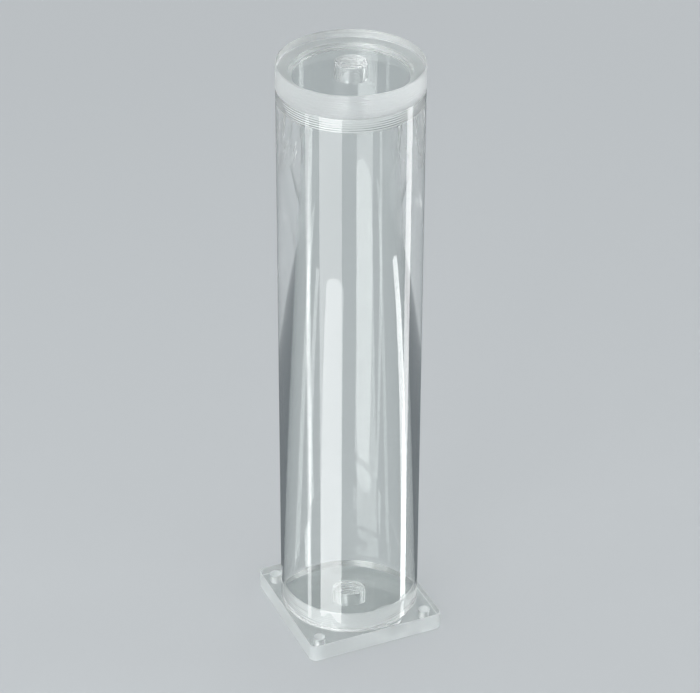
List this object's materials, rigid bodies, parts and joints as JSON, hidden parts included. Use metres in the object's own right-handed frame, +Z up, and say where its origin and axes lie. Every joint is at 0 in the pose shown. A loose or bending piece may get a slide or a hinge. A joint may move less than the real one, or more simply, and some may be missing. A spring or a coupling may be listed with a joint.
{
  "type": "coolant pump reservoir",
  "caption": "Clear acrylic tube reservoir for liquid cooling: square screw-down base, upright tube and lift-off sealed cap, with a threaded port on the axis at top and bottom.",
  "frame": {"origin": "centre of the base plate's underside, on the tube's axis", "axes": "+Z up the tube, X and Y square to the base plate's sides"},
  "size_m": [0.062, 0.062, 0.268],
  "materials": {
    "clear_acrylic_tube": "polished",
    "clear_acrylic_machined": "satin",
    "clear_silicone": "satin"
  },
  "bodies": {
    "reservoir": {"tube": "clear_acrylic_tube", "base": "clear_acrylic_machined"},
    "seal": {"cap_seal": "clear_silicone"},
    "cap": {"top_cap": "clear_acrylic_machined"}
  },
  "joints": [
    {"name": "cap_lift", "type": "slide", "parent": "reservoir", "child": "seal", "axis": [0, 0, 1], "range_m": [0, 0.04]},
    {"name": "cap_turn", "type": "hinge", "parent": "seal", "child": "cap", "pos_m": [0, 0, 0.259], "axis": [0, 0, 1], "continuous": true}
  ]
}
